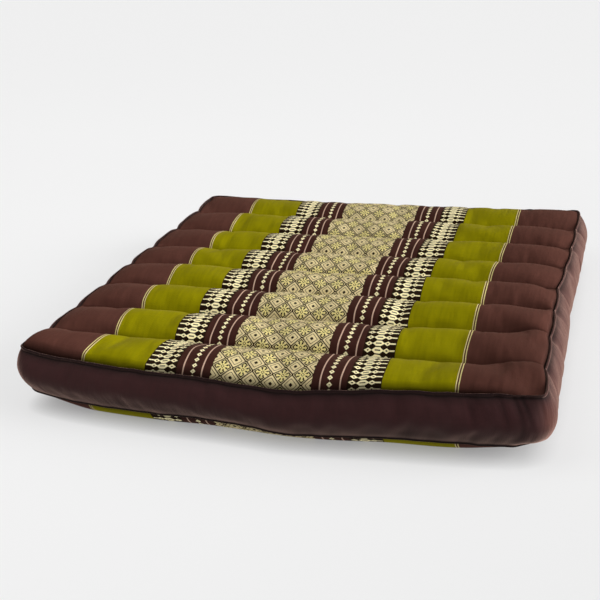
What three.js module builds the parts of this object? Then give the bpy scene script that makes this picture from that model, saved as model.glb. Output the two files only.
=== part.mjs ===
// Square quilted floor cushion lying on its back, in millimetres, +Z up.
// X runs along the sewn channels, Y across them, and the near edge is at -Y.
// The origin is at the middle of the cushion's box, on the surface that it rests on.
import * as THREE from 'three';
import { mergeVertices } from 'three/addons/utils/BufferGeometryUtils.js';

// Driving dimensions of the two seams
const SEAM_SIDE = 480; // corner to corner along a seam
const TOP_SEAM = 64; // height of the top seam at its corners
const BOTTOM_SEAM = { nearLeft: 18, nearRight: 24, farLeft: 16, farRight: 16 }; // its corners' heights
const NEAR_BOW = 15; // how far the near edge stands out at its middle
const FAR_BOW = 5;
const NEAR_DIP = 10; // how far the top seam sags at the middle of the near edge
const FAR_DIP = 5;
const BOTTOM_DIP = 11; // how far the bottom seam sags at the middle of each edge

// Filled channels
const END_ROUND = 40; // length over which a channel's end rounds down to the seam
const END_SHAPE = 2.2; // exponent of that rounding, 2 for an ellipse
const END_SCALLOP = 1.6; // how far a channel's end swells out between two stitch lines
const LEAN = 0.85; // below 1 the crests lie nearer the near edge
const FLOOR_GROOVE = 9; // height of the underside's grooves above the surface
const FLOOR_PRESS = 6; // how far the underside's channels are pressed flat
const FLOOR_SHAPE = 2.4; // exponent of the underside's rounded sections
const FLOOR_RIM_SHAPE = 1.4; // the same at the near and far edges, where they round up to the seam

// Steps of the surface
const CHANNEL_STEPS = 8; // across each channel
const END_STEPS = [0, 2, 6, 12, 20, 30, 42, 62]; // distances from the left and right seams
const MIDDLE_STEPS = 6; // between the two ends

// Lines across the cushion: the near seam, the seven stitch lines and the far seam.
// leftY and rightY place each line at the two ends, leftX and rightX place the side seams there.
// groove is its height against the seam's corners, and it climbs to the seam over leftRun and rightRun.
const LINES = [
  { leftY: -240, rightY: -240, leftX: -240, rightX: 239, groove: 0, leftRun: 1, rightRun: 1 },
  { leftY: -196, rightY: -190, leftX: -236, rightX: 235, groove: -6, leftRun: 40, rightRun: 70 },
  { leftY: -136, rightY: -126, leftX: -236.5, rightX: 234, groove: -6, leftRun: 40, rightRun: 60 },
  { leftY: -75, rightY: -67, leftX: -236, rightX: 233.5, groove: -6, leftRun: 35, rightRun: 15 },
  { leftY: -13, rightY: -8, leftX: -237, rightX: 232.5, groove: -6, leftRun: 35, rightRun: 12 },
  { leftY: 45, rightY: 53, leftX: -235.5, rightX: 237, groove: -6, leftRun: 35, rightRun: 12 },
  { leftY: 110, rightY: 113, leftX: -234, rightX: 239, groove: -6, leftRun: 30, rightRun: 12 },
  { leftY: 178, rightY: 177, leftX: -234, rightX: 240.5, groove: -6, leftRun: 30, rightRun: 12 },
  { leftY: 240, rightY: 240, leftX: -240, rightX: 240.5, groove: 0, leftRun: 1, rightRun: 1 },
];

// Channels from the near edge to the far one: crest height against the seam's corners, and the exponent
// of the rounded section, where a larger one is squarer
const CHANNELS = [
  { crest: 9, shape: 2.1 },
  { crest: 10.5, shape: 2.1 },
  { crest: 12.5, shape: 2.2 },
  { crest: 11.5, shape: 2.2 },
  { crest: 10, shape: 2.1 },
  { crest: 9, shape: 2.1 },
  { crest: 8, shape: 2.1 },
  { crest: 5, shape: 2 },
];

// Section of the boxing from the top seam to the bottom one: the share of the way down, the distance out
// from the seam line, the rise of the rolled edge, and the plan radius of the corners
const BOXING = [
  { share: 0, out: 0, rise: 0, corner: 6 },
  { share: 0, out: 1.2, rise: 1.6, corner: 7 },
  { share: 0, out: 3.2, rise: 0.8, corner: 9 },
  { share: 0, out: 3.4, rise: -2.4, corner: 10 },
  { share: 0.22, out: 9, rise: 0, corner: 19 },
  { share: 0.5, out: 13, rise: 0, corner: 25 },
  { share: 0.78, out: 9, rise: 0, corner: 21 },
  { share: 1, out: 3.4, rise: 2.4, corner: 12 },
  { share: 1, out: 3.2, rise: -0.8, corner: 11 },
  { share: 1, out: 1.2, rise: -1.6, corner: 9 },
  { share: 1, out: 0, rise: 0, corner: 8 },
];

const HALF = SEAM_SIDE / 2;
const { lerp } = THREE.MathUtils;

// Places along X, close together at the ends
function columns() {
  const last = END_STEPS.length - 1;
  const straight = HALF - END_STEPS[last];
  const left = END_STEPS.map((step) => step - HALF);
  const right = END_STEPS.map((step) => HALF - step).reverse();
  const middle = [];
  for (let n = 1; n < MIDDLE_STEPS; n += 1) {
    middle.push(lerp(-straight, straight, n / MIDDLE_STEPS));
  }
  return [...left, ...middle, ...right];
}

// Rows across the channels, close together at the stitch lines: a channel and the share of its width
function rows() {
  const list = [];
  for (let index = 0; index < CHANNELS.length; index += 1) {
    for (let n = 0; n < CHANNEL_STEPS; n += 1) {
      const share = (1 - Math.cos((Math.PI * n) / CHANNEL_STEPS)) / 2;
      list.push({ index, share });
    }
  }
  list.push({ index: CHANNELS.length - 1, share: 1 });
  return list;
}

// Rounded section, 0 at both sides and 1 in the middle
function crown(share, shape) {
  return (1 - Math.abs(2 * share - 1) ** shape) ** (1 / shape);
}

// Rounded climb from 0 at the seam to 1 at the given run
function climb(distance, run) {
  const left = Math.max(0, 1 - distance / run);
  return (1 - left ** END_SHAPE) ** (1 / END_SHAPE);
}

// 1 in the middle of an edge and 0 at its corners
function swell(place) {
  return 1 - (place / HALF) ** 2;
}

// Value of a column of the table of lines at a row
function along(row, column) {
  return lerp(LINES[row.index][column], LINES[row.index + 1][column], row.share);
}

// Y of a line of the table at a place along X
function lineY(line, x) {
  const y = lerp(LINES[line].leftY, LINES[line].rightY, (x + HALF) / SEAM_SIDE);
  if (line === 0) return y - NEAR_BOW * swell(x);
  if (line === LINES.length - 1) return y + FAR_BOW * swell(x);
  return y;
}

// Plan position of a column and row on the cushion, with its channels' ends scalloped by the given share
function planPoint(x, row, scalloped) {
  const scallop = END_SCALLOP * scalloped * Math.sin(Math.PI * row.share);
  const left = along(row, 'leftX') - scallop;
  const right = along(row, 'rightX') + scallop;
  return {
    x: lerp(left, right, (x + HALF) / SEAM_SIDE),
    y: lerp(lineY(row.index, x), lineY(row.index + 1, x), row.share),
  };
}

// Height of a line of the table on the top, at a place along X
function topLine(line, x) {
  if (line === 0) return TOP_SEAM - NEAR_DIP * swell(x);
  if (line === LINES.length - 1) return TOP_SEAM - FAR_DIP * swell(x);
  const { groove, leftRun, rightRun } = LINES[line];
  return TOP_SEAM + groove * climb(HALF + x, leftRun) * climb(HALF - x, rightRun);
}

// Height of the top panel
function topHeight(x, row) {
  const { crest, shape } = CHANNELS[row.index];
  const near = topLine(row.index, x);
  const far = topLine(row.index + 1, x);
  const ends = climb(HALF + x, END_ROUND) * climb(HALF - x, END_ROUND);
  const base = lerp(near, far, row.share);
  const rise = TOP_SEAM + crest - (near + far) / 2;
  return base + rise * ends * crown(row.share ** LEAN, shape);
}

// Height of the bottom seam at a nominal place on its square
function bottomSeam(x, y) {
  const { nearLeft, nearRight, farLeft, farRight } = BOTTOM_SEAM;
  const across = (x + HALF) / SEAM_SIDE;
  const near = lerp(nearLeft, nearRight, across);
  const far = lerp(farLeft, farRight, across);
  return lerp(near, far, (y + HALF) / SEAM_SIDE) - BOTTOM_DIP * Math.max(swell(x), swell(y));
}

// Height of the bottom panel, pressed flat on the surface
function bottomHeight(x, row, y) {
  const rim = bottomSeam(x, y);
  const outer = row.index === 0 || row.index === CHANNELS.length - 1;
  const shape = outer ? FLOOR_RIM_SHAPE : FLOOR_SHAPE;
  const isSeam = (line) => line === 0 || line === LINES.length - 1;
  const near = isSeam(row.index) ? rim : FLOOR_GROOVE;
  const far = isSeam(row.index + 1) ? rim : FLOOR_GROOVE;
  const base = lerp(near, far, row.share);
  const section = base - (base + FLOOR_PRESS) * crown(row.share, shape);
  const ends = climb(HALF + x, END_ROUND) * climb(HALF - x, END_ROUND);
  return Math.max(0, lerp(rim, section, ends));
}

// Offset from the seam line to a ring of the boxing, with its corners rounded in plan
function ringOffset(x, y, ring) {
  const half = HALF + ring.out;
  const centre = half - ring.corner;
  const place = new THREE.Vector2(x, y).multiplyScalar(half / HALF);
  const past = new THREE.Vector2(Math.abs(place.x) - centre, Math.abs(place.y) - centre);
  if (past.x > 0 && past.y > 0) {
    past.setLength(ring.corner);
    place.set(Math.sign(x) * (centre + past.x), Math.sign(y) * (centre + past.y));
  }
  return place.sub(new THREE.Vector2(x, y));
}

function cushionGeometry() {
  const xs = columns();
  const across = rows();
  const rings = BOXING.length - 1;
  const box = new THREE.BoxGeometry(1, 1, 1, xs.length - 1, across.length - 1, rings);
  const points = box.attributes.position;
  for (let n = 0; n < points.count; n += 1) {
    const column = Math.round((points.getX(n) + 0.5) * (xs.length - 1));
    const line = Math.round((points.getY(n) + 0.5) * (across.length - 1));
    const ring = rings - Math.round((points.getZ(n) + 0.5) * rings);
    const x = xs[column];
    const row = across[line];
    const nominalY = lerp(along(row, 'leftY'), along(row, 'rightY'), 0.5);
    const level = BOXING[ring];
    const place = planPoint(x, row, Math.abs(2 * level.share - 1));
    const onEdge = column === 0 || column === xs.length - 1 || line === 0 || line === across.length - 1;
    let z = topHeight(x, row);
    if (onEdge) {
      const offset = ringOffset(x, nominalY, level);
      place.x += offset.x;
      place.y += offset.y;
      z = lerp(z, bottomSeam(x, nominalY), level.share) + level.rise;
    } else if (ring === rings) {
      z = bottomHeight(x, row, nominalY);
    }
    points.setXYZ(n, place.x, place.y, z);
  }
  box.deleteAttribute('normal');
  box.deleteAttribute('uv');
  const geometry = mergeVertices(box);
  geometry.computeBoundingBox();
  const centre = geometry.boundingBox.getCenter(new THREE.Vector3());
  geometry.translate(-centre.x, -centre.y, -geometry.boundingBox.min.z);
  geometry.computeVertexNormals();
  return geometry;
}

const cloth = new THREE.MeshStandardMaterial({ color: 0x53362f, roughness: 0.75, metalness: 0 });
const cushion = new THREE.Mesh(cushionGeometry(), cloth);
cushion.name = 'cushion';

const model = new THREE.Group();
model.add(cushion);

export default model;
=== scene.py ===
import math

import bmesh
import bpy
from mathutils import Matrix, Vector, noise
from mathutils.bvhtree import BVHTree


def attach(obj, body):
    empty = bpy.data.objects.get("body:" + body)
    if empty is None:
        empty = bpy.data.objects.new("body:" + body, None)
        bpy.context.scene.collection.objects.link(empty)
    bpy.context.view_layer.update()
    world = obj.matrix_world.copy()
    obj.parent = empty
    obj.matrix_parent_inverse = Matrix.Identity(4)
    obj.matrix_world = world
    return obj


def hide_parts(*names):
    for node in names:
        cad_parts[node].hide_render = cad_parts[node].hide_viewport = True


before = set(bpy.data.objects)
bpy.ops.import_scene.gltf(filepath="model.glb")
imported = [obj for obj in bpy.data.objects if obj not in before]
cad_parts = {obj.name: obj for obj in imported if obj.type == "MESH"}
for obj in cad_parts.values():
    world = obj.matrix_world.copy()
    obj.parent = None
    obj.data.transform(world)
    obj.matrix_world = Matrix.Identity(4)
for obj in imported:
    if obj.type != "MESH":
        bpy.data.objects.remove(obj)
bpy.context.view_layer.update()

mm = 0.001
scene = bpy.context.scene


def lerp(start, end, share):
    return start + (end - start) * share


def fromSrgb(red, green, blue):
    # screen colour, 0 to 255, as the linear colour that a shader takes
    def channel(level):
        level = level / 255
        return level / 12.92 if level <= 0.04045 else ((level + 0.055) / 1.055) ** 2.4
    return (channel(red), channel(green), channel(blue), 1.0)


# camera at the photo's angle
photoView = {
    "place": (282.2, -976.7, 459.6),  # mm
    "turn": 18.391,  # degrees to the left of straight ahead
    "tilt": 22.743,  # degrees down
    "roll": -3.226,
    "lens": 60.824,
    "sensor": 36.0,
}


def setCamera(view):
    camera = bpy.data.cameras.new("photoCamera")
    camera.lens = view["lens"]
    camera.sensor_width = view["sensor"]
    holder = bpy.data.objects.new("photoCamera", camera)
    scene.collection.objects.link(holder)
    turn = Matrix.Rotation(math.radians(view["turn"]), 4, "Z")
    tilt = Matrix.Rotation(math.radians(90 - view["tilt"]), 4, "X")
    roll = Matrix.Rotation(math.radians(view["roll"]), 4, "Z")
    holder.matrix_world = Matrix.Translation(Vector(view["place"]) * mm) @ turn @ tilt @ roll
    scene.camera = holder


setCamera(photoView)
print("camera set")


# cushion cover: two woven panels and the boxing between them, as one closed skin
cover = {
    "half": 240,  # mm, half of a seam's side
    "shift": (-1.25, 5.0),  # mm, from the seams' centre to the middle of the box
    "topSeam": 64,  # height of the top seam at its corners
    "bottomSeam": {"nearLeft": 20.5, "nearRight": 14.5},  # its height at the near corners
    "farCorner": 16,
    "nearReach": 60,  # depth over which the near edge's own line fades out
    "nearBow": 15,  # how far the near edge stands out at its middle
    "farBow": 5,
    "farDip": 5,  # how far the top seam sags there
    "bottomDip": 11,
    "endRound": 40,  # length over which a channel rounds down to the side seam
    "nearLeftRound": 18,  # the same for the nearest channel's left end, which is fuller
    "endShape": 2.2,
    "scallop": 1.6,  # swell of a channel's end between two stitch lines
    "lean": 0.85,  # crests lie nearer the near edge
    # mm below the table's crests at the left and right ends, before the filling swells
    "crestDrop": (4.2, 2.2),
    "nearFollow": 0.4,  # how far the nearest crest follows the near seam's sag
    "nearLeftLift": 4.0,  # and stands up at its left end
    "nearLeftReach": 60,
    "drawnShape": 1.5,  # how fast the cloth drawn along the near edge eases off behind it
    "groove": -6,  # stitch lines against the top seam
    "fadeLength": 40,  # where a line fades out, the length over which it does
    "fadeShare": 0.8,
    "floorGroove": 9,
    "floorPress": 6,
    "floorShape": 2.4,
    "floorRimShape": 1.4,
    "rowsPerChannel": 10,
    "pressure": 4.0,
    "quality": 5,
    "slack": 0.012,  # spare length of the cloth against its pattern
    "frames": 20,
    "looseShare": 0.8,  # share of the boxing's drop that is free to swell
    "mostMove": 3.4,  # mm, cap on what the swelling may move a point
    "patternCentre": 0.5,  # mm, where the weave's middle lies along x
}

# near seam, seven stitch lines and far seam, in mm: y at both ends, the side seams there, and the lengths
# over which a line climbs to the side seams, and the place along x where its crease starts to fade out
lineColumns = ("leftY", "rightY", "leftX", "rightX", "leftRun", "rightRun", "fadeFrom")
stitchLines = [dict(zip(lineColumns, line)) for line in (
    (-240, -240, -239, 239, 1, 1, 300),
    (-196, -190, -235.7, 235, 40, 70, 186),
    (-136, -126, -236.2, 234, 40, 60, 192),
    (-75, -67, -235.7, 233.5, 35, 15, 214),
    (-13, -8, -236.2, 232.5, 35, 12, 300),
    (45, 53, -235.2, 236.5, 35, 12, 300),
    (110, 113, -234.2, 238.5, 30, 12, 300),
    (178, 177, -234.2, 240, 30, 12, 300),
    (241, 241, -237, 240, 1, 1, 300),
)]

# the near edge from left to right, in mm: the top seam against its corners, the bottom seam above the floor,
# how far the underside behind it hangs down, as a share of the way to the floor, and how far the cloth is
# drawn to the left there
nearColumns = ("x", "top", "bottom", "belly", "drawn")
nearEdge = [dict(zip(nearColumns, place)) for place in (
    (-240, 0, 20.5, 0.3, 3.6),
    (-205, -3.8, 16.2, 0.7, 4.8),
    (-170, -5, 14.4, 1.1, 5.4),
    (-110, -6.2, 14.8, 1.12, 3.4),
    (-55, -6.2, 16.2, 0.98, 1.4),
    (-15, -8.8, 14, 1.0, 0),
    (22, -10.3, 10.4, 1.05, 0),
    (60, -7, 12.2, 1.0, 0),
    (108, -2.6, 15.6, 0.86, 0),
    (170, -0.8, 15.6, 0.84, 0),
    (240, 0, 14.5, 0.1, 0),
)]

# channels from the near one: crest against the top seam in mm, and how square the section is
channels = [(9, 2.1), (10.5, 2.1), (12.5, 2.2), (11.5, 2.2), (10, 2.1), (9, 2.1), (8, 2.1), (5, 2.0)]

# rolled seam from its stitched crease to the boxing, in mm: distance out, rise, plan radius of the corners
rolledSeam = [
    (0.0, -2.6, 6), (0.6, -1.6, 6.3), (1.0, -0.2, 6.6), (1.6, 0.7, 7), (2.2, 0.5, 7.5), (2.6, -0.4, 8),
    (2.4, -1.7, 8.5), (1.9, -2.8, 9),
]
boxing = {
    "shares": (0.08, 0.18, 0.3, 0.42, 0.54, 0.66, 0.78, 0.88),
    "foot": 2.2,  # mm out at the seams
    "bulge": 10.6,
    "bulgeShape": 1.15,
    "corner": 15,  # added to the corners' radius at the bulge
    "footCorner": 8,  # the same at the bottom seam
    "curl": (-4, 18),  # near right corner, which curls under: the same at its lower half and at its seam
    "rightSwell": 2.4,  # fuller side on the right
    "rightMiddle": -90,  # where it is fullest along y, and how far that reaches
    "rightReach": 130,
    "footRoll": 0.5,  # the bottom seam is rolled less than the top one
    "foldWide": 2.4,
    "foldFrom": 1.8,  # folds start this far out
}
# folds in the boxing under the near seam, by the right corner: place along x, depth and share of the drop
boxingFolds = [
    (176, 1.2, 0.5), (181, 0.9, 0.3), (201, 1.6, 0.5), (214, 2.0, 0.8), (220.5, 2.4, 0.65), (227, 2.0, 0.5),
    (233.5, 1.6, 0.4),
]
puckers = {
    "stitch": 1.3,  # mm, along the stitch lines
    "stitchReach": 10,
    "stitchPitch": 7,
    "lump": 1.8,  # uneven filling
    "lumpPitch": 42,
    "lumpStretch": 1.4,  # lumps are closer together across the channels
    "seamWave": 1.0,
    "seamPitch": 10,
    "kink": 2.0,  # where a stitch line meets a side seam
    "kinkReach": 6,
    "kinkIn": 0.4,  # share of a kink that draws the side in
    "cornerDimple": 5.0,  # near right corner
    "dimpleReach": 20,
    "dimplePlace": (10, 8),  # in from the corner
    "noisePlaces": {"stitch": 1.7, "lump": 8.1, "seam": 3.3},  # each noise is read at a place of its own
    "lineStep": 5.3,  # and so is each stitch line's and each seam's
    "seamStep": 2,
}
# columns of the mesh, in mm from the side seams: close together at both ends, and where the near right
# corner is gathered
columnSteps = {
    "left": [0, 1.5, 4, 8, 13, 19, 26, 34, 43, 53],
    "right": [0, 1.2, 3] + [5.5 + 2.9 * n for n in range(22)],
    "middle": 62,
}


def boxingRings():
    rings = []
    for out, rise, corner in rolledSeam:
        rings.append({"share": 0, "out": out, "rise": rise, "corner": corner})
    for share in boxing["shares"]:
        swelling = math.sin(math.pi * share)
        corner = rolledSeam[-1][2] + boxing["footCorner"] * share + boxing["corner"] * swelling
        rings.append({
            "share": share,
            "out": boxing["foot"] + boxing["bulge"] * swelling ** boxing["bulgeShape"],
            "rise": 0,
            "corner": corner,
        })
    for out, rise, corner in reversed(rolledSeam):
        rings.append({
            "share": 1,
            "out": out,
            "rise": -rise * boxing["footRoll"],
            "corner": corner + boxing["footCorner"],
        })
    return rings


def columnPlaces():
    half, count = cover["half"], columnSteps["middle"]
    left = [step - half for step in columnSteps["left"]]
    right = [half - step for step in reversed(columnSteps["right"])]
    middle = [lerp(left[-1], right[0], n / count) for n in range(1, count)]
    return left + middle + right


def rowPlaces():
    # channel and share of its width, close together at the stitch lines
    steps = cover["rowsPerChannel"]
    places = []
    for channel in range(len(channels)):
        for n in range(steps):
            places.append((channel, (1 - math.cos(math.pi * n / steps)) / 2))
    places.append((len(channels) - 1, 1.0))
    return places


rings, columns, rows = boxingRings(), columnPlaces(), rowPlaces()
lastRing, lastColumn, lastRow = len(rings) - 1, len(columns) - 1, len(rows) - 1


def crown(share, shape):
    return (1 - abs(2 * share - 1) ** shape) ** (1 / shape)


def climb(distance, run):
    left = max(0.0, 1 - distance / run)
    return (1 - left ** cover["endShape"]) ** (1 / cover["endShape"])


def swell(place):
    return 1 - (place / cover["half"]) ** 2


def across(x):
    return (x + cover["half"]) / (2 * cover["half"])


def nearPlace(x, column):
    # smooth curve through the table of the near edge
    last = len(nearEdge) - 1
    start = max(n for n in range(last) if nearEdge[n]["x"] <= max(x, nearEdge[0]["x"]))
    four = [nearEdge[min(max(start + n, 0), last)] for n in (-1, 0, 1, 2)]
    wide = four[2]["x"] - four[1]["x"]
    share = (x - four[1]["x"]) / wide
    slopes = []
    for n in (1, 2):
        span = four[n + 1]["x"] - four[n - 1]["x"]
        slopes.append((four[n + 1][column] - four[n - 1][column]) / span * wide)
    value = (1 + 2 * share) * (1 - share) ** 2 * four[1][column] + share * (1 - share) ** 2 * slopes[0]
    return value + share ** 2 * (3 - 2 * share) * four[2][column] + share ** 2 * (share - 1) * slopes[1]


def along(row, column):
    channel, share = row
    return lerp(stitchLines[channel][column], stitchLines[channel + 1][column], share)


def lineY(line, x):
    y = lerp(stitchLines[line]["leftY"], stitchLines[line]["rightY"], across(x))
    if line == 0:
        return y - cover["nearBow"] * swell(x)
    if line == len(channels):
        return y + cover["farBow"] * swell(x)
    return y


def planPoint(x, row, scalloped):
    channel, share = row
    scallop = cover["scallop"] * scalloped * math.sin(math.pi * share)
    left, right = along(row, "leftX") - scallop, along(row, "rightX") + scallop
    drawn = nearPlace(x, "drawn") * (1 - share) ** cover["drawnShape"] if channel == 0 else 0.0
    return lerp(left, right, across(x)) - drawn, lerp(lineY(channel, x), lineY(channel + 1, x), share)


def topLine(line, x):
    if line == 0:
        return cover["topSeam"] + nearPlace(x, "top")
    if line == len(channels):
        return cover["topSeam"] - cover["farDip"] * swell(x)
    ends = climb(cover["half"] + x, stitchLines[line]["leftRun"])
    ends *= climb(cover["half"] - x, stitchLines[line]["rightRun"])
    groove = cover["topSeam"] + cover["groove"] * ends
    faded = min(1.0, max(0.0, (x - stitchLines[line]["fadeFrom"]) / cover["fadeLength"]))
    faded = cover["fadeShare"] * faded * faded * (3 - 2 * faded)
    ridge = (crestHeight(line - 1, x) + crestHeight(line, x)) / 2
    return lerp(groove, lerp(cover["topSeam"], ridge, channelEnds(x)), faded)


def crestHeight(channel, x):
    height = cover["topSeam"] + channels[channel][0] - lerp(*cover["crestDrop"], across(x))
    if channel == 0:
        height += cover["nearFollow"] * nearPlace(x, "top")
        height += cover["nearLeftLift"] * math.exp(-((x + cover["half"]) / cover["nearLeftReach"]) ** 2)
    return height


def channelEnds(x, leftRound=cover["endRound"]):
    return climb(cover["half"] + x, leftRound) * climb(cover["half"] - x, cover["endRound"])


def topHeight(x, row):
    channel, share = row
    near, far = topLine(channel, x), topLine(channel + 1, x)
    rise = crestHeight(channel, x) - (near + far) / 2
    section = crown(share ** cover["lean"], channels[channel][1])
    ends = channelEnds(x, cover["nearLeftRound"]) if channel == 0 else channelEnds(x)
    return lerp(near, far, share) + rise * ends * section


def bottomSeam(x, y):
    # runs level along an edge and sags between the corners
    corner = cover["bottomSeam"]
    near = lerp(corner["nearLeft"], corner["nearRight"], across(x))
    sides = lerp(near, cover["farCorner"], across(y)) - cover["bottomDip"] * max(swell(x), swell(y))
    return lerp(nearPlace(x, "bottom"), sides, min(1.0, (y + cover["half"]) / cover["nearReach"]))


def bottomHeight(x, row, y):
    channel, share = row
    rim = bottomSeam(x, y)
    outer = channel in (0, len(channels) - 1)
    shape = cover["floorRimShape"] if outer else cover["floorShape"]
    near = rim if channel == 0 else cover["floorGroove"]
    far = rim if channel == len(channels) - 1 else cover["floorGroove"]
    base = lerp(near, far, share)
    hang = nearPlace(x, "belly") if channel == 0 else 1.0
    section = base - (base + cover["floorPress"]) * crown(share, shape) * hang
    return max(0.0, lerp(rim, section, channelEnds(x)))


def ringOffset(x, y, ring):
    half = cover["half"] + ring["out"]
    radius = ring["corner"]
    if x > 0 > y and ring["share"] > 0.5:
        radius += boxing["curl"][1] if ring["share"] == 1 else boxing["curl"][0]
    centre = half - radius
    place = Vector((x, y)) * (half / cover["half"])
    past = Vector((abs(place.x) - centre, abs(place.y) - centre))
    if past.x > 0 and past.y > 0:
        # full rounding at the rim, and less of it further in
        furthest = max(past)
        past *= lerp(1, furthest / past.length, min(1.0, furthest / radius) ** 2)
        place = Vector((math.copysign(centre + past.x, x), math.copysign(centre + past.y, y)))
    return place - Vector((x, y))


def coverPoint(column, line, level):
    x, row, ring = columns[column], rows[line], rings[level]
    y = rowY(line)
    px, py = planPoint(x, row, abs(2 * ring["share"] - 1))
    offset = ringOffset(x, y, ring)
    px, py = px + offset.x, py + offset.y
    z = topHeight(x, row)
    if onRim(column, line):
        z = lerp(z, bottomSeam(x, y), ring["share"]) + ring["rise"]
        dx, dy, dz = rimPuckers(column, line, ring)
        px, py, z = px + dx, py + dy, z + dz
    elif level == lastRing:
        z = bottomHeight(x, row, y)
    else:
        z += panelPuckers(x, row, y)
    return Vector((px + cover["shift"][0], py + cover["shift"][1], z))


def onRim(column, line):
    return column in (0, lastColumn) or line in (0, lastRow)


def panelPuckers(x, row, y):
    # gathers along the stitch lines, lumps in the filling and a dimple at the near right corner
    channel, share = row
    apart = puckers["noisePlaces"]
    wide = lineY(channel + 1, x) - lineY(channel, x)
    line, distance = (channel, share * wide) if share < 0.5 else (channel + 1, (1 - share) * wide)
    gather = noise.noise(Vector((x / puckers["stitchPitch"], line * puckers["lineStep"], apart["stitch"])))
    lift = puckers["stitch"] * gather * math.exp(-distance / puckers["stitchReach"]) * channelEnds(x)
    lumpX, lumpY = x / puckers["lumpPitch"], y / puckers["lumpPitch"] * puckers["lumpStretch"]
    lump = noise.noise(Vector((lumpX, lumpY, apart["lump"])))
    lift += puckers["lump"] * lump * math.sin(math.pi * share) * channelEnds(x)
    inX, inY = puckers["dimplePlace"]
    corner = Vector((x - cover["half"] + inX, y + cover["half"] - inY)).length
    return lift - puckers["cornerDimple"] * math.exp(-(corner / puckers["dimpleReach"]) ** 2)


def rimPuckers(column, line, ring):
    # uneven seams, kinks where the stitch lines end, the fuller right side and the boxing's folds
    place = rimPlace(column, line)
    x, y = columns[column], rowY(line)
    ringPlace = ring["share"] * puckers["seamStep"]
    wave = noise.noise(Vector((place / puckers["seamPitch"], ringPlace, puckers["noisePlaces"]["seam"])))
    dx, dz = 0.0, puckers["seamWave"] * wave
    atTop = 1 - ring["share"]
    if column in (0, lastColumn):
        for n in range(1, len(channels)):
            end = stitchLines[n]["leftY"] if column == 0 else stitchLines[n]["rightY"]
            pull = math.exp(-((y - end) / puckers["kinkReach"]) ** 2) * atTop ** 3
            dz -= puckers["kink"] * pull
            dx += math.copysign(puckers["kink"] * puckers["kinkIn"], -x) * pull
    if column == lastColumn:
        fullest = max(0.0, 1 - ((y - boxing["rightMiddle"]) / boxing["rightReach"]) ** 2)
        dx += boxing["rightSwell"] * math.sin(math.pi * ring["share"]) * fullest
    return dx, foldDepth(column, line, ring), dz


def foldDepth(column, line, ring):
    # gathers in the boxing, mm drawn in
    if line > 0 or ring["out"] < boxing["foldFrom"] or ring["rise"] > 0 or ring["share"] == 1:
        return 0.0
    depths = 0.0
    for centre, depth, reach in boxingFolds:
        fold = math.exp(-((columns[column] - centre) / boxing["foldWide"]) ** 2)
        depths += depth * fold * max(0.0, 1 - ring["share"] / reach)
    return depths


def rowY(line):
    return lerp(along(rows[line], "leftY"), along(rows[line], "rightY"), 0.5)


def rimPlace(column, line):
    # mm round the seam from the near left corner
    side = 2 * cover["half"]
    x, y = columns[column] + cover["half"], rowY(line) + cover["half"]
    if line == 0:
        return x
    if column == lastColumn:
        return side + y
    return 3 * side - x if line == lastRow else 4 * side - y


def buildCover():
    bm = bmesh.new()
    columnOf = bm.verts.layers.int.new("column")
    rowOf = bm.verts.layers.int.new("row")
    ringOf = bm.verts.layers.int.new("ring")

    def panel(level):
        grid = bmesh.ops.create_grid(bm, x_segments=lastColumn, y_segments=lastRow, size=0.5)
        for vert in grid["verts"]:
            vert[columnOf] = round((vert.co.x + 0.5) * lastColumn)
            vert[rowOf] = round((vert.co.y + 0.5) * lastRow)
            vert[ringOf] = level
        return grid["verts"]

    panel(0)
    rim = [edge for edge in bm.edges if edge.is_boundary]
    for level in range(1, lastRing + 1):
        ring = bmesh.ops.extrude_edge_only(bm, edges=rim)["geom"]
        for part in ring:
            if isinstance(part, bmesh.types.BMVert):
                part[ringOf] = level
        rim = [part for part in ring if isinstance(part, bmesh.types.BMEdge)]
    under = panel(lastRing)
    bmesh.ops.reverse_faces(bm, faces=list({face for vert in under for face in vert.link_faces}))
    for vert in bm.verts:
        vert.co = coverPoint(vert[columnOf], vert[rowOf], vert[ringOf]) * mm
    bmesh.ops.remove_doubles(bm, verts=bm.verts, dist=1e-6)
    bmesh.ops.recalc_face_normals(bm, faces=bm.faces)
    for face in bm.faces:
        face.smooth = True
        levels = {vert[ringOf] for vert in face.verts}
        face.material_index = 0 if levels in ({0}, {lastRing}) else 1
    mesh = bpy.data.meshes.new("cushionCover")
    mapCloth(bm, columnOf, rowOf, ringOf)
    markCloth(bm, columnOf, rowOf, ringOf)
    bm.to_mesh(mesh)
    bm.free()
    piece = bpy.data.objects.new("cushionCover", mesh)
    scene.collection.objects.link(piece)
    return piece


def clothLengths(level):
    # length along the cloth from the near seam, measured down the middle of a panel
    middle = lastColumn // 2
    lengths, last = [0.0], coverPoint(middle, 0, level)
    for line in range(1, lastRow + 1):
        point = coverPoint(middle, line, level)
        lengths.append(lengths[-1] + (point - last).length)
        last = point
    return lengths


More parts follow.
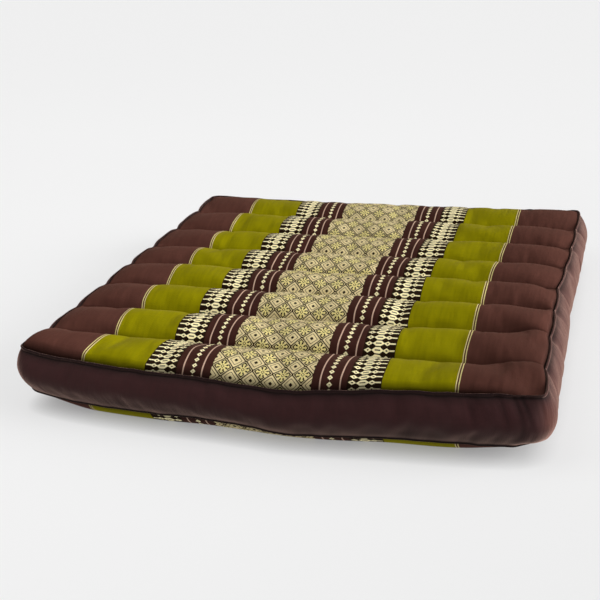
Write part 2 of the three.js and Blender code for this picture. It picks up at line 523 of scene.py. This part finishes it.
def mapCloth(bm, columnOf, rowOf, ringOf):
    # the cloth laid flat, in metres: panels from the weave's middle and the near seam, boxing round its strip
    clothMap = bm.loops.layers.uv.new("clothMap")
    lengths = {0: clothLengths(0), lastRing: clothLengths(lastRing)}
    side = 2 * cover["half"]
    drop = cover["topSeam"] - cover["bottomSeam"]["nearLeft"]
    for face in bm.faces:
        panelLevel = face.loops[0].vert[ringOf]
        places = [rimPlace(loop.vert[columnOf], loop.vert[rowOf]) for loop in face.loops]
        wraps = max(places) - min(places) > side
        for loop, place in zip(face.loops, places):
            vert = loop.vert
            if face.material_index == 0:
                u = columns[vert[columnOf]] - cover["patternCentre"]
                v = lengths[panelLevel][vert[rowOf]]
            else:
                ring = rings[vert[ringOf]]
                u = place + 4 * side if wraps and place < side else place
                v = ring["share"] * drop + ring["out"]
            loop[clothMap].uv = (u * mm, v * mm)
# painted light and shade: how dark the painted shade in creases and shaded cloth is, 0 to 1, and where the
# boxing's right side is painted paler
paintedLight = {
    "fold": 0.4,  # painted shade for each mm of a fold's depth
    "nearShade": 2.0,  # painted shade on the near boxing, for the share of its drop below nearFrom
    "nearFrom": 0.4,
    "nearSeam": 0.8,
    "besideSeam": 0.45,
    "stitchLine": 0.5,
    "corner": 0.35,  # painted shade at the near right corner
    "cornerReach": 75,  # mm
    "facingReach": 10,  # mm round the corners from the right side, for the painted side light
    # painted highlight on the ridge of the rolled seam on the right, at these rings
    "rolledHighlight": 0.35,
    "highlightRings": (3, 4, 5),
}
ditch = len(rolledSeam) - 1  # ring between the rolled seam and the boxing
# painted shade in the seams' creases, ring by ring
shadedRings = {
    0: 1.0, 1: 1.0, 2: 0.6, ditch - 1: 0.5, ditch: 1.0, ditch + 1: 0.4,
    lastRing - ditch: 0.4, lastRing: 1.0,
}


# painted shade, 0 to 1: in the seams' creases and the boxing's folds, on the near boxing's lower half, along
# the near seam, beside the seams, in the stitch lines and at the near right corner
def paintedShadeOf(column, line, level):
    ring = rings[level]
    if onRim(column, line):
        shade = foldDepth(column, line, ring) * paintedLight["fold"]
        if line == 0:
            shade += paintedLight["nearShade"] * max(0.0, ring["share"] - paintedLight["nearFrom"])
            shade = max(shade, paintedLight["nearSeam"] if level <= ditch else 0.0)
        return max(shadedRings.get(level, 0.0), min(1.0, shade))
    if column in (1, lastColumn - 1) or line in (1, lastRow - 1):
        return paintedLight["besideSeam"]
    sewn = line % cover["rowsPerChannel"] == 0 and level in (0, lastRing)
    corner = Vector((columns[column] - cover["half"], rowY(line) + cover["half"])).length
    shade = paintedLight["corner"] * math.exp(-(corner / paintedLight["cornerReach"]) ** 2)
    return max(paintedLight["stitchLine"] if sewn else 0.0, shade)


def sideLightOf(column, line, level):
    # painted light: the boxing on the right painted paler, as if lit from that side, and a painted highlight
    # on its rolled seam
    x, share = columns[column], rings[level]["share"]
    if not onRim(column, line) or line == lastRow or x <= 0:
        return 0.0
    facing = math.exp(-((cover["half"] - x) / paintedLight["facingReach"]) ** 2)
    if 0 < share < 1:
        return math.sin(math.pi * share) * facing
    return paintedLight["rolledHighlight"] * facing if level in paintedLight["highlightRings"] else 0.0


def markCloth(bm, columnOf, rowOf, ringOf):
    # painted side light and painted shade, kept on the points
    sideLight = bm.verts.layers.float.new("sideLight")
    creaseShade = bm.verts.layers.float.new("creaseShade")
    for vert in bm.verts:
        place = vert[columnOf], vert[rowOf], vert[ringOf]
        vert[sideLight] = sideLightOf(*place)
        vert[creaseShade] = paintedShadeOf(*place)


def sewnDown(piece):
    # seams, stitch lines and the underside hold still while the filling swells
    columnOf, rowOf, ringOf = (piece.data.attributes[name].data for name in ("column", "row", "ring"))
    held = []
    for index in range(len(piece.data.vertices)):
        level, line = ringOf[index].value, rowOf[index].value
        rolled = 0 < level < lastRing and not 0 < rings[level]["share"] < cover["looseShare"]
        edge = onRim(columnOf[index].value, line)
        if level == lastRing or rolled or level == 0 and (edge or line % cover["rowsPerChannel"] == 0):
            held.append(index)
    group = piece.vertex_groups.new(name="sewnDown")
    group.add(held, 1.0, "REPLACE")
    return group


def swellCover(piece):
    group = sewnDown(piece)
    cloth = piece.modifiers.new("filling", "CLOTH")
    cloth.settings.quality = cover["quality"]
    cloth.settings.use_pressure = True
    cloth.settings.uniform_pressure_force = cover["pressure"]
    cloth.settings.shrink_min = -cover["slack"]
    cloth.settings.shrink_max = -cover["slack"]
    cloth.settings.effector_weights.gravity = 0
    cloth.settings.vertex_group_mass = group.name
    cloth.collision_settings.use_collision = False
    cloth.point_cache.frame_start = 1
    cloth.point_cache.frame_end = cover["frames"]
    for frameNumber in range(1, cover["frames"] + 1):
        scene.frame_set(frameNumber)
    shown = piece.evaluated_get(bpy.context.evaluated_depsgraph_get())
    swollen = [vert.co.copy() for vert in shown.data.vertices]
    piece.modifiers.remove(cloth)
    scene.frame_set(1)
    moves = []
    for vert, place in zip(piece.data.vertices, swollen):
        move = place - vert.co
        moves.append(move.length)
        if move.length > cover["mostMove"] * mm:
            move *= cover["mostMove"] * mm / move.length
        vert.co += move
    mean = sum(moves) / len(moves)
    print("filling swelled, furthest point", round(max(moves) / mm, 1), "mm, mean", round(mean / mm, 2))


cushionCover = buildCover()
print("cover built,", len(cushionCover.data.polygons), "faces")
swellCover(cushionCover)
smooth = cushionCover.modifiers.new("smooth", "SUBSURF")
smooth.levels = 1
smooth.render_levels = 1


# node helpers
def newGroup(name, inputs, outputs):
    tree = bpy.data.node_groups.new(name, "ShaderNodeTree")
    for label, kind in inputs:
        tree.interface.new_socket(label, in_out="INPUT", socket_type="NodeSocket" + kind)
    for label, kind in outputs:
        tree.interface.new_socket(label, in_out="OUTPUT", socket_type="NodeSocket" + kind)
    return tree, tree.nodes.new("NodeGroupInput").outputs, tree.nodes.new("NodeGroupOutput").inputs


def feed(tree, value, socket):
    if isinstance(value, bpy.types.NodeSocket):
        tree.links.new(value, socket)
    else:
        socket.default_value = value


def maths(tree, operation, *values):
    node = tree.nodes.new("ShaderNodeMath")
    node.operation = operation
    for value, socket in zip(values, node.inputs):
        feed(tree, value, socket)
    return node.outputs[0]

def scaled(tree, value, factor):
    return maths(tree, "MULTIPLY", value, factor)


def within(tree, value, reach):
    return maths(tree, "LESS_THAN", maths(tree, "ABSOLUTE", value), reach)

def blendColour(tree, share, first, second, kind="MIX"):
    node = tree.nodes.new("ShaderNodeMix")
    node.data_type = "RGBA"
    node.blend_type = kind
    feed(tree, share, node.inputs["Factor"])
    feed(tree, first, node.inputs[6])
    feed(tree, second, node.inputs[7])
    return node.outputs[2]


def useGroup(tree, group, **values):
    node = tree.nodes.new("ShaderNodeGroup")
    node.node_tree = group
    for label, value in values.items():
        feed(tree, value, node.inputs[label])
    return node.outputs


def noiseOf(tree, vector, scale, detail=2.0):
    node = tree.nodes.new("ShaderNodeTexNoise")
    feed(tree, vector, node.inputs["Vector"])
    node.inputs["Scale"].default_value = scale
    node.inputs["Detail"].default_value = detail
    return node.outputs[0]


def stretched(tree, x, y):
    node = tree.nodes.new("ShaderNodeCombineXYZ")
    feed(tree, x, node.inputs[0])
    feed(tree, y, node.inputs[1])
    return node.outputs[0]


def greyOf(tree, value):
    node = tree.nodes.new("ShaderNodeCombineColor")
    for socket in node.inputs[:3]:
        feed(tree, value, socket)
    return node.outputs[0]


def bandGroup():
    # 1 between two places across the cloth, with an edge a thread wide
    places = [(name, "Float") for name in ("Across", "From", "To")]
    tree, given, result = newGroup("clothBand", places, [("Mask", "Float")])
    soft = 0.35  # mm
    rise = maths(tree, "DIVIDE", maths(tree, "SUBTRACT", given["Across"], given["From"]), soft)
    fall = maths(tree, "DIVIDE", maths(tree, "SUBTRACT", given["To"], given["Across"]), soft)
    mask = maths(tree, "ADD", maths(tree, "MINIMUM", rise, fall), 0.5)
    mask.node.use_clamp = True
    tree.links.new(mask, result["Mask"])
    return tree


# plain weave, with noises that count more one way than the other: their scale, detail and share of the result
weaving = {
    "threads": 0.5,
    "warpSlub": {"across": 1.0, "along": 0.05, "scale": 0.32, "detail": 4, "share": 0.65},
    "weftSlub": {"across": 0.04, "along": 1.0, "scale": 0.8, "detail": 2, "share": 0.35},
    "cloud": {"across": 1.0, "along": 1.0, "scale": 0.03, "detail": 3},
    "pucker": {"across": 1.0, "along": 0.3, "scale": 0.13, "detail": 2, "share": 7.0},
}


def threadGroup():
    # raised threads with slubs both ways and small puckers, and an uneven tone
    tree, given, result = newGroup(
        "threads",
        [("Across", "Float"), ("Along", "Float"), ("Thread", "Float")],
        [("Height", "Float"), ("Streak", "Float"), ("Cloud", "Float")],
    )

    def wave(place):
        return maths(tree, "SINE", scaled(tree, maths(tree, "DIVIDE", place, given["Thread"]), math.pi))

    def drawnOut(name):
        setting = weaving[name]
        sideways = scaled(tree, given["Across"], setting["across"])
        lengthways = scaled(tree, given["Along"], setting["along"])
        return noiseOf(tree, stretched(tree, sideways, lengthways), setting["scale"], setting["detail"])

    def shareOf(name):
        return scaled(tree, drawnOut(name), weaving[name]["share"])

    weave = maths(tree, "MULTIPLY", wave(given["Across"]), wave(given["Along"]))
    streak = maths(tree, "ADD", shareOf("warpSlub"), shareOf("weftSlub"))
    height = maths(tree, "ADD", scaled(tree, weave, weaving["threads"]), streak)
    tree.links.new(maths(tree, "ADD", height, shareOf("pucker")), result["Height"])
    tree.links.new(streak, result["Streak"])
    tree.links.new(drawnOut("cloud"), result["Cloud"])
    return tree


# painted light and shade, and the cloth's uneven tone
toneAndPaintedLight = {
    "tone": 0.6,  # to which the cloud and the streaks add
    "cloud": 0.28,
    "streak": 0.52,
    "creaseShade": 0.85,  # how much darker full painted crease shade is
    "rough": 0.72,
    "streakRough": 0.2,
    "sideLightRough": 0.06,
}


def toneAndPaintedLightGroup():
    # the painted side light makes the cloth paler and rougher, the painted shade makes creases darker, and
    # the cloud and streaks vary the tone
    values = [(name, "Float") for name in ("Rub", "Crease", "Cloud", "Streak")]
    tree, given, result = newGroup(
        "toneAndPaintedLight",
        [("Colour", "Color"), ("Rubbed", "Color")] + values,
        [("Colour", "Color"), ("Rough", "Float")],
    )
    tone = maths(tree, "ADD", toneAndPaintedLight["tone"], scaled(tree, given["Cloud"], toneAndPaintedLight["cloud"]))
    tone = maths(tree, "ADD", tone, scaled(tree, given["Streak"], toneAndPaintedLight["streak"]))
    lit = maths(tree, "SUBTRACT", 1.0, scaled(tree, given["Crease"], toneAndPaintedLight["creaseShade"]))
    tone = maths(tree, "MULTIPLY", tone, lit)
    colour = blendColour(tree, given["Rub"], given["Colour"], given["Rubbed"])
    colour = blendColour(tree, 1.0, colour, greyOf(tree, tone), "MULTIPLY")
    tree.links.new(colour, result["Colour"])
    rough = maths(tree, "ADD", toneAndPaintedLight["rough"], scaled(tree, given["Streak"], toneAndPaintedLight["streakRough"]))
    rough = maths(tree, "ADD", rough, scaled(tree, given["Rub"], toneAndPaintedLight["sideLightRough"]))
    tree.links.new(rough, result["Rough"])
    return tree


# woven repeats, in mm out from the weave's middle and along it
lattice = {
    "half": 46.0,  # of the band that it fills
    "wide": 18.4,
    "tall": 20.4,
    "threads": 24,  # in a repeat, and the counts below are in threads
    "firstFlower": 16.6,
    "stops": [(0, 0), (10, 1), (11.5, 0), (13.5, 1), (16, 0), (17.5, 1), (21.5, 0)],  # cream starts and stops
    "petals": 8.0,
    "petalGap": (0.08, 1.0),  # grows by the first for each thread out
    "petalReach": 7.6,
    "warmReach": 9.0,
}
beads = {
    "pitch": 7.2,
    "first": 9.2,
    "diamonds": (82.0, 99.2),
    "diamond": (3.6, 2.55),  # half sizes, as below
    "hole": 0.34,  # share of the diamond
    "lozengePlace": 91.0,
    "lozengeFlat": 2.2,
    "lozenge": (3.4, 3.0),
    "line": (2.6, 0.6),
    "stemPlace": 104.4,
    "stem": (2.3, 0.75),
}
chain = {"pitch": 6.8, "first": 7.0, "centre": 61.9, "diamond": (2.5, 2.7), "hole": 0.25}


def latticeGroup():
    # diamond lattice charted in threads: d counts the threads out from a flower's middle
    places = [("Across", "Float"), ("Along", "Float")]
    tree, given, result = newGroup("diamondLattice", places, [("Cream", "Float"), ("Warm", "Float")])

    def threadsFrom(place, size):
        step = maths(tree, "FLOOR", scaled(tree, place, lattice["threads"] / size))
        return maths(tree, "PINGPONG", maths(tree, "ADD", step, 0.5), lattice["threads"] / 2)

    p = threadsFrom(given["Across"], lattice["wide"])
    q = threadsFrom(maths(tree, "SUBTRACT", given["Along"], lattice["firstFlower"]), lattice["tall"])
    d = maths(tree, "ADD", p, q)
    ringsOut = tree.nodes.new("ShaderNodeValToRGB")
    ringsOut.color_ramp.interpolation = "CONSTANT"
    points = ringsOut.color_ramp.elements
    while len(points) < len(lattice["stops"]):
        points.new(0.5)
    for point, (start, cream) in zip(points, lattice["stops"]):
        point.position = start / lattice["threads"]
        point.color = (cream, cream, cream, 1)
    tree.links.new(maths(tree, "DIVIDE", d, lattice["threads"]), ringsOut.inputs[0])
    # petals that part as they go out
    turn = scaled(tree, maths(tree, "ARCTAN2", q, p), lattice["petals"])
    slope, joined = lattice["petalGap"]
    gap = maths(tree, "SUBTRACT", scaled(tree, d, slope), joined)
    petal = maths(tree, "GREATER_THAN", maths(tree, "COSINE", turn), gap)
    square = maths(tree, "ADD", maths(tree, "MULTIPLY", p, p), maths(tree, "MULTIPLY", q, q))
    close = maths(tree, "LESS_THAN", maths(tree, "SQRT", square), lattice["petalReach"])
    petal = maths(tree, "MULTIPLY", petal, close)
    tree.links.new(maths(tree, "MAXIMUM", ringsOut.outputs[0], petal), result["Cream"])
    tree.links.new(maths(tree, "LESS_THAN", d, lattice["warmReach"]), result["Warm"])
    return tree


def diamondOf(tree, x, y, wide, tall):
    # below 1 inside a diamond of the given half sizes
    sideways = maths(tree, "DIVIDE", maths(tree, "ABSOLUTE", x), wide)
    return maths(tree, "ADD", sideways, maths(tree, "DIVIDE", maths(tree, "ABSOLUTE", y), tall))


def holed(tree, size, hole):
    inside = maths(tree, "LESS_THAN", size, 1.0)
    return maths(tree, "MULTIPLY", inside, maths(tree, "GREATER_THAN", size, hole))
def rowPlace(tree, along, setting):
    # mm above the middle of the nearest row of a repeat
    turns = maths(tree, "DIVIDE", maths(tree, "SUBTRACT", along, setting["first"]), setting["pitch"])
    part = maths(tree, "SUBTRACT", maths(tree, "FRACT", maths(tree, "ADD", turns, 0.5)), 0.5)
    return maths(tree, "MULTIPLY", part, setting["pitch"])


def beadGroup():
    # rows of beads: a holed diamond, a long lozenge with a line in it, a holed diamond and a stem
    tree, given, result = newGroup("beadRows", [("Out", "Float"), ("Along", "Float")], [("Cream", "Float")])
    y = rowPlace(tree, given["Along"], beads)
    x = maths(tree, "SUBTRACT", given["Out"], beads["lozengePlace"])
    past = maths(tree, "SUBTRACT", maths(tree, "ABSOLUTE", x), beads["lozengeFlat"])
    size = diamondOf(tree, maths(tree, "MAXIMUM", past, 0.0), y, *beads["lozenge"])
    wide, tall = beads["line"]
    line = maths(tree, "MULTIPLY", within(tree, x, wide), within(tree, y, tall))
    cream = maths(tree, "SUBTRACT", maths(tree, "LESS_THAN", size, 1.0), line)
    wide, tall = beads["stem"]
    stem = maths(tree, "COMPARE", given["Out"], beads["stemPlace"], wide)
    cream = maths(tree, "MAXIMUM", cream, maths(tree, "MULTIPLY", stem, within(tree, y, tall)))
    for place in beads["diamonds"]:
        size = diamondOf(tree, maths(tree, "SUBTRACT", given["Out"], place), y, *beads["diamond"])
        cream = maths(tree, "MAXIMUM", cream, holed(tree, size, beads["hole"]))
    tree.links.new(cream, result["Cream"])
    return tree


def chainGroup():
    # a row of holed diamonds
    places = [("Out", "Float"), ("Along", "Float")]
    tree, given, result = newGroup("diamondChain", places, [("Cream", "Float")])
    y = rowPlace(tree, given["Along"], chain)
    x = maths(tree, "SUBTRACT", given["Out"], chain["centre"])
    cream = holed(tree, diamondOf(tree, x, y, *chain["diamond"]), chain["hole"])
    tree.links.new(cream, result["Cream"])
    return tree


groups = {
    "band": bandGroup(),
    "threads": threadGroup(),
    "toneAndPaintedLight": toneAndPaintedLightGroup(),
    "lattice": latticeGroup(),
    "beads": beadGroup(),
    "chain": chainGroup(),
}

wovenColours = {
    "brown": fromSrgb(84, 51, 43),
    "deepBrown": fromSrgb(62, 35, 29),
    "green": fromSrgb(133, 126, 0),
    "ground": fromSrgb(36, 23, 12),
    "cream": fromSrgb(220, 203, 154),
    "bead": fromSrgb(252, 240, 190),
    "warm": fromSrgb(228, 214, 144),
    "pale": fromSrgb(206, 172, 150),
}
# plain bands and stripes in mm out from the weave's middle
wovenBands = [
    ("deepBrown", 0, 78.0),
    ("ground", 0, lattice["half"]),
    ("pale", 53.1, 54.3),
    ("pale", 70.9, 72.1),
    ("ground", 77.5, 107.5),
    ("green", 107.5, 168.0),
    ("warm", 168.3, 169.15),
    ("warm", 170.5, 171.35),
]
boxingColour = fromSrgb(55, 28, 29)
sideLitColour = fromSrgb(80, 47, 41)  # boxing on the right, painted paler as if lit from that side
# finish of the two cloths: thread in mm, bump strength, specular level, sheen and its tint
wovenFinish = {"thread": 0.8, "bump": 0.5, "specular": 0.03, "sheen": 0.05, "tint": (1.0, 0.62, 0.45, 1.0)}
boxingFinish = {"thread": 0.7, "bump": 0.35, "specular": 0.15, "sheen": 0.88, "tint": (1.0, 0.62, 0.5, 1.0)}
bumpDistance = 0.3  # mm
sheenRoughness = 0.35


def startMaterial(name):
    material = bpy.data.materials.new(name)
    material.use_nodes = True
    tree = material.node_tree
    shader = tree.nodes["Principled BSDF"]
    place = tree.nodes.new("ShaderNodeUVMap")
    place.uv_map = "clothMap"
    parts = tree.nodes.new("ShaderNodeSeparateXYZ")
    tree.links.new(place.outputs[0], parts.inputs[0])
    acrossCloth = maths(tree, "MULTIPLY", parts.outputs[0], 1 / mm)
    alongCloth = maths(tree, "MULTIPLY", parts.outputs[1], 1 / mm)
    return material, tree, shader, acrossCloth, alongCloth


def finishCloth(tree, shader, colour, litSide, threads, relief, finish):
    # painted side light and painted shade, read from the mesh's attributes
    paintedLight = {}
    for name in ("sideLight", "creaseShade"):
        node = tree.nodes.new("ShaderNodeAttribute")
        node.attribute_name = name
        paintedLight[name] = node.outputs["Fac"]
    litAndShaded = useGroup(
        tree, groups["toneAndPaintedLight"], Colour=colour, Rubbed=litSide, Rub=paintedLight["sideLight"], Crease=paintedLight["creaseShade"],
        Cloud=threads["Cloud"], Streak=threads["Streak"],
    )
    tree.links.new(litAndShaded["Colour"], shader.inputs["Base Color"])
    tree.links.new(litAndShaded["Rough"], shader.inputs["Roughness"])
    bump = tree.nodes.new("ShaderNodeBump")
    bump.inputs["Strength"].default_value = finish["bump"]
    bump.inputs["Distance"].default_value = bumpDistance * mm
    tree.links.new(relief, bump.inputs["Height"])
    tree.links.new(bump.outputs[0], shader.inputs["Normal"])
    shader.inputs["Specular IOR Level"].default_value = finish["specular"]
    shader.inputs["Sheen Weight"].default_value = finish["sheen"]
    shader.inputs["Sheen Roughness"].default_value = sheenRoughness
    shader.inputs["Sheen Tint"].default_value = finish["tint"]


def wovenMaterial():
    material, tree, shader, acrossCloth, alongCloth = startMaterial("wovenPanel")
    out = maths(tree, "ABSOLUTE", acrossCloth)
    threads = useGroup(
        tree, groups["threads"], Across=acrossCloth, Along=alongCloth, Thread=wovenFinish["thread"],
    )
    colour = wovenColours["brown"]
    for name, start, end in wovenBands:
        mask = useGroup(tree, groups["band"], Across=out, From=start, To=end)["Mask"]
        colour = blendColour(tree, mask, colour, wovenColours[name])
    weave = useGroup(tree, groups["lattice"], Across=acrossCloth, Along=alongCloth)
    middle = useGroup(tree, groups["band"], Across=out, From=-1.0, To=lattice["half"])["Mask"]
    latticeCream = maths(tree, "MULTIPLY", weave["Cream"], middle)
    thread = blendColour(tree, weave["Warm"], wovenColours["cream"], wovenColours["warm"])
    colour = blendColour(tree, latticeCream, colour, thread)
    beadCream = useGroup(tree, groups["beads"], Out=out, Along=alongCloth)["Cream"]
    chainCream = useGroup(tree, groups["chain"], Out=out, Along=alongCloth)["Cream"]
    raised = maths(tree, "MAXIMUM", beadCream, chainCream)
    colour = blendColour(tree, raised, colour, wovenColours["bead"])
    relief = maths(tree, "ADD", threads["Height"], maths(tree, "MAXIMUM", raised, latticeCream))
    finishCloth(tree, shader, colour, colour, threads, relief, wovenFinish)
    return material


def boxingMaterial():
    material, tree, shader, acrossCloth, alongCloth = startMaterial("boxingCloth")
    threads = useGroup(
        tree, groups["threads"], Across=acrossCloth, Along=alongCloth, Thread=boxingFinish["thread"],
    )
    finishCloth(tree, shader, boxingColour, sideLitColour, threads, threads["Height"], boxingFinish)
    return material


cushionCover.data.materials.append(wovenMaterial())
cushionCover.data.materials.append(boxingMaterial())
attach(cushionCover, "root")
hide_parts("cushion")
print("cloth finished")


# quilting stitches, lying in the grooves of the top panel
quilting = {
    "step": 5.0,  # mm from stitch to stitch
    "length": 3.4,
    "thick": 0.9,
    "sunk": 0.15,  # how far a stitch sits in the cloth
    "clear": 14,  # length left free at the side seams
    "past": 24,  # how far a line runs on once its crease fades
    "colour": fromSrgb(44, 26, 20),
    "rough": 0.7,
    "specular": 0.2,
}


def stitchPoint(skin, line, x):
    px, py = planPoint(x, (line, 0.0), 1.0)
    above = Vector((px + cover["shift"][0], py + cover["shift"][1], 2 * cover["topSeam"])) * mm
    return skin.ray_cast(above, Vector((0, 0, -1)))[0]


def sewQuilting():
    skin = BVHTree.FromObject(cushionCover, bpy.context.evaluated_depsgraph_get())
    size = Matrix.Diagonal((quilting["length"], quilting["thick"], quilting["thick"], 2 / mm)) * (mm / 2)
    mesh = bpy.data.meshes.new("quiltThread")
    for line in range(1, len(channels)):
        bm = bmesh.new()
        start = quilting["clear"] - cover["half"]
        end = min(-start, stitchLines[line]["fadeFrom"] + quilting["past"])
        for n in range(int((end - start) / quilting["step"])):
            x = start + n * quilting["step"]
            ends = [stitchPoint(skin, line, x + side * quilting["length"] / 2) for side in (-1, 1)]
            middle = (ends[0] + ends[1]) / 2 - Vector((0, 0, quilting["sunk"] * mm))
            turn = (ends[1] - ends[0]).to_track_quat("X", "Z").to_matrix().to_4x4()
            place = Matrix.Translation(middle) @ turn @ size
            bmesh.ops.create_uvsphere(bm, u_segments=6, v_segments=4, radius=1.0, matrix=place)
        bm.from_mesh(mesh)  # the lines sewn so far
        for face in bm.faces:
            face.smooth = True
        bm.to_mesh(mesh)
        bm.free()
    piece = bpy.data.objects.new("quiltThread", mesh)
    scene.collection.objects.link(piece)
    return piece


def threadMaterial():
    material = bpy.data.materials.new("sewingThread")
    material.use_nodes = True
    shader = material.node_tree.nodes["Principled BSDF"]
    shader.inputs["Base Color"].default_value = quilting["colour"]
    shader.inputs["Roughness"].default_value = quilting["rough"]
    shader.inputs["Specular IOR Level"].default_value = quilting["specular"]
    return material


quiltThread = sewQuilting()
quiltThread.data.materials.append(threadMaterial())
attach(quiltThread, "root")
print("quilting sewn,", len(quiltThread.data.polygons), "faces")


# floor and light
studio = {
    "floorSide": 40.0,  # m, as below
    "floorColour": (0.26, 0.26, 0.26, 1.0),
    "floorGlow": 0.68,  # a lit floor, so shadows stay faint
    "contactShadow": 0.6,  # painted contact shadow: how much of the glow is lost under the cushion
    "contactReach": 0.021,
    "litFrom": 0.262,  # x past which the floor is lit and keeps its glow, without the painted shadow
    "litFade": 0.04,
    "glowSlope": 0.077,  # the lamps are weaker far back, so the glow makes up for it there
    "glowLevel": 0.938,
    "leastGlow": 0.89,
    "ambient": 0.1,
    "lamps": [
        # name, elevation and azimuth of where it stands in degrees, spread in degrees, strength
        ("overheadLamp", 62, 30, 100, 0.75),
        ("sideLamp", 14, 8, 45, 5.0),
    ],
    "boxPlace": (-0.5, -0.4, 1.0),  # soft box over the near left
    "boxSide": 0.9,
    "boxPower": 5.0,
}


def buildFloor():
    bm = bmesh.new()
    bmesh.ops.create_grid(bm, x_segments=1, y_segments=1, size=studio["floorSide"] / 2)
    mesh = bpy.data.meshes.new("paleFloor")
    bm.to_mesh(mesh)
    bm.free()
    floor = bpy.data.objects.new("paleFloor", mesh)
    scene.collection.objects.link(floor)
    material = bpy.data.materials.new("paleFloor")
    material.use_nodes = True
    shader = material.node_tree.nodes["Principled BSDF"]
    shader.inputs["Base Color"].default_value = studio["floorColour"]
    shader.inputs["Roughness"].default_value = 1.0
    shader.inputs["Specular IOR Level"].default_value = 0.0
    shader.inputs["Emission Strength"].default_value = studio["floorGlow"]
    tree = material.node_tree
    paintedShadow = tree.nodes.new("ShaderNodeAmbientOcclusion")  # painted contact shadow, darker where the cushion meets it
    paintedShadow.inputs["Distance"].default_value = studio["contactReach"]
    place = tree.nodes.new("ShaderNodeTexCoord")
    parts = tree.nodes.new("ShaderNodeSeparateXYZ")
    tree.links.new(place.outputs["Object"], parts.inputs[0])
    shaded = maths(tree, "SUBTRACT", studio["litFrom"], parts.outputs[0])
    shaded = maths(tree, "DIVIDE", shaded, studio["litFade"])
    shaded.node.use_clamp = True
    shaded = scaled(tree, shaded, studio["contactShadow"])
    glow = blendColour(tree, shaded, (1, 1, 1, 1), paintedShadow.outputs["Color"])
    level = maths(tree, "ADD", scaled(tree, parts.outputs[1], studio["glowSlope"]), studio["glowLevel"])
    level = maths(tree, "MAXIMUM", level, studio["leastGlow"])
    level.node.use_clamp = True
    glow = blendColour(tree, 1.0, glow, greyOf(tree, level), "MULTIPLY")
    tree.links.new(glow, shader.inputs["Emission Color"])
    mesh.materials.append(material)


def addLamp(name, kind, strength):
    lamp = bpy.data.lights.new(name, kind)
    lamp.energy = strength
    holder = bpy.data.objects.new(name, lamp)
    scene.collection.objects.link(holder)
    return lamp, holder


def setLights():
    for name, elevation, azimuth, spread, strength in studio["lamps"]:
        lamp, holder = addLamp(name, "SUN", strength)
        lamp.angle = math.radians(spread)
        holder.rotation_euler = (0, math.radians(90 - elevation), math.radians(azimuth))
    softBox, holder = addLamp("softBox", "AREA", studio["boxPower"])
    softBox.size = studio["boxSide"]
    holder.location = studio["boxPlace"]
    holder.rotation_euler = (-holder.location).to_track_quat("-Z", "Y").to_euler()
    world = bpy.data.worlds.new("studio")
    scene.world = world
    world.use_nodes = True
    background = world.node_tree.nodes["Background"]
    background.inputs["Color"].default_value = (1, 1, 1, 1)
    background.inputs["Strength"].default_value = studio["ambient"]


buildFloor()
setLights()
scene.view_settings.view_transform = "Standard"
print("studio set")
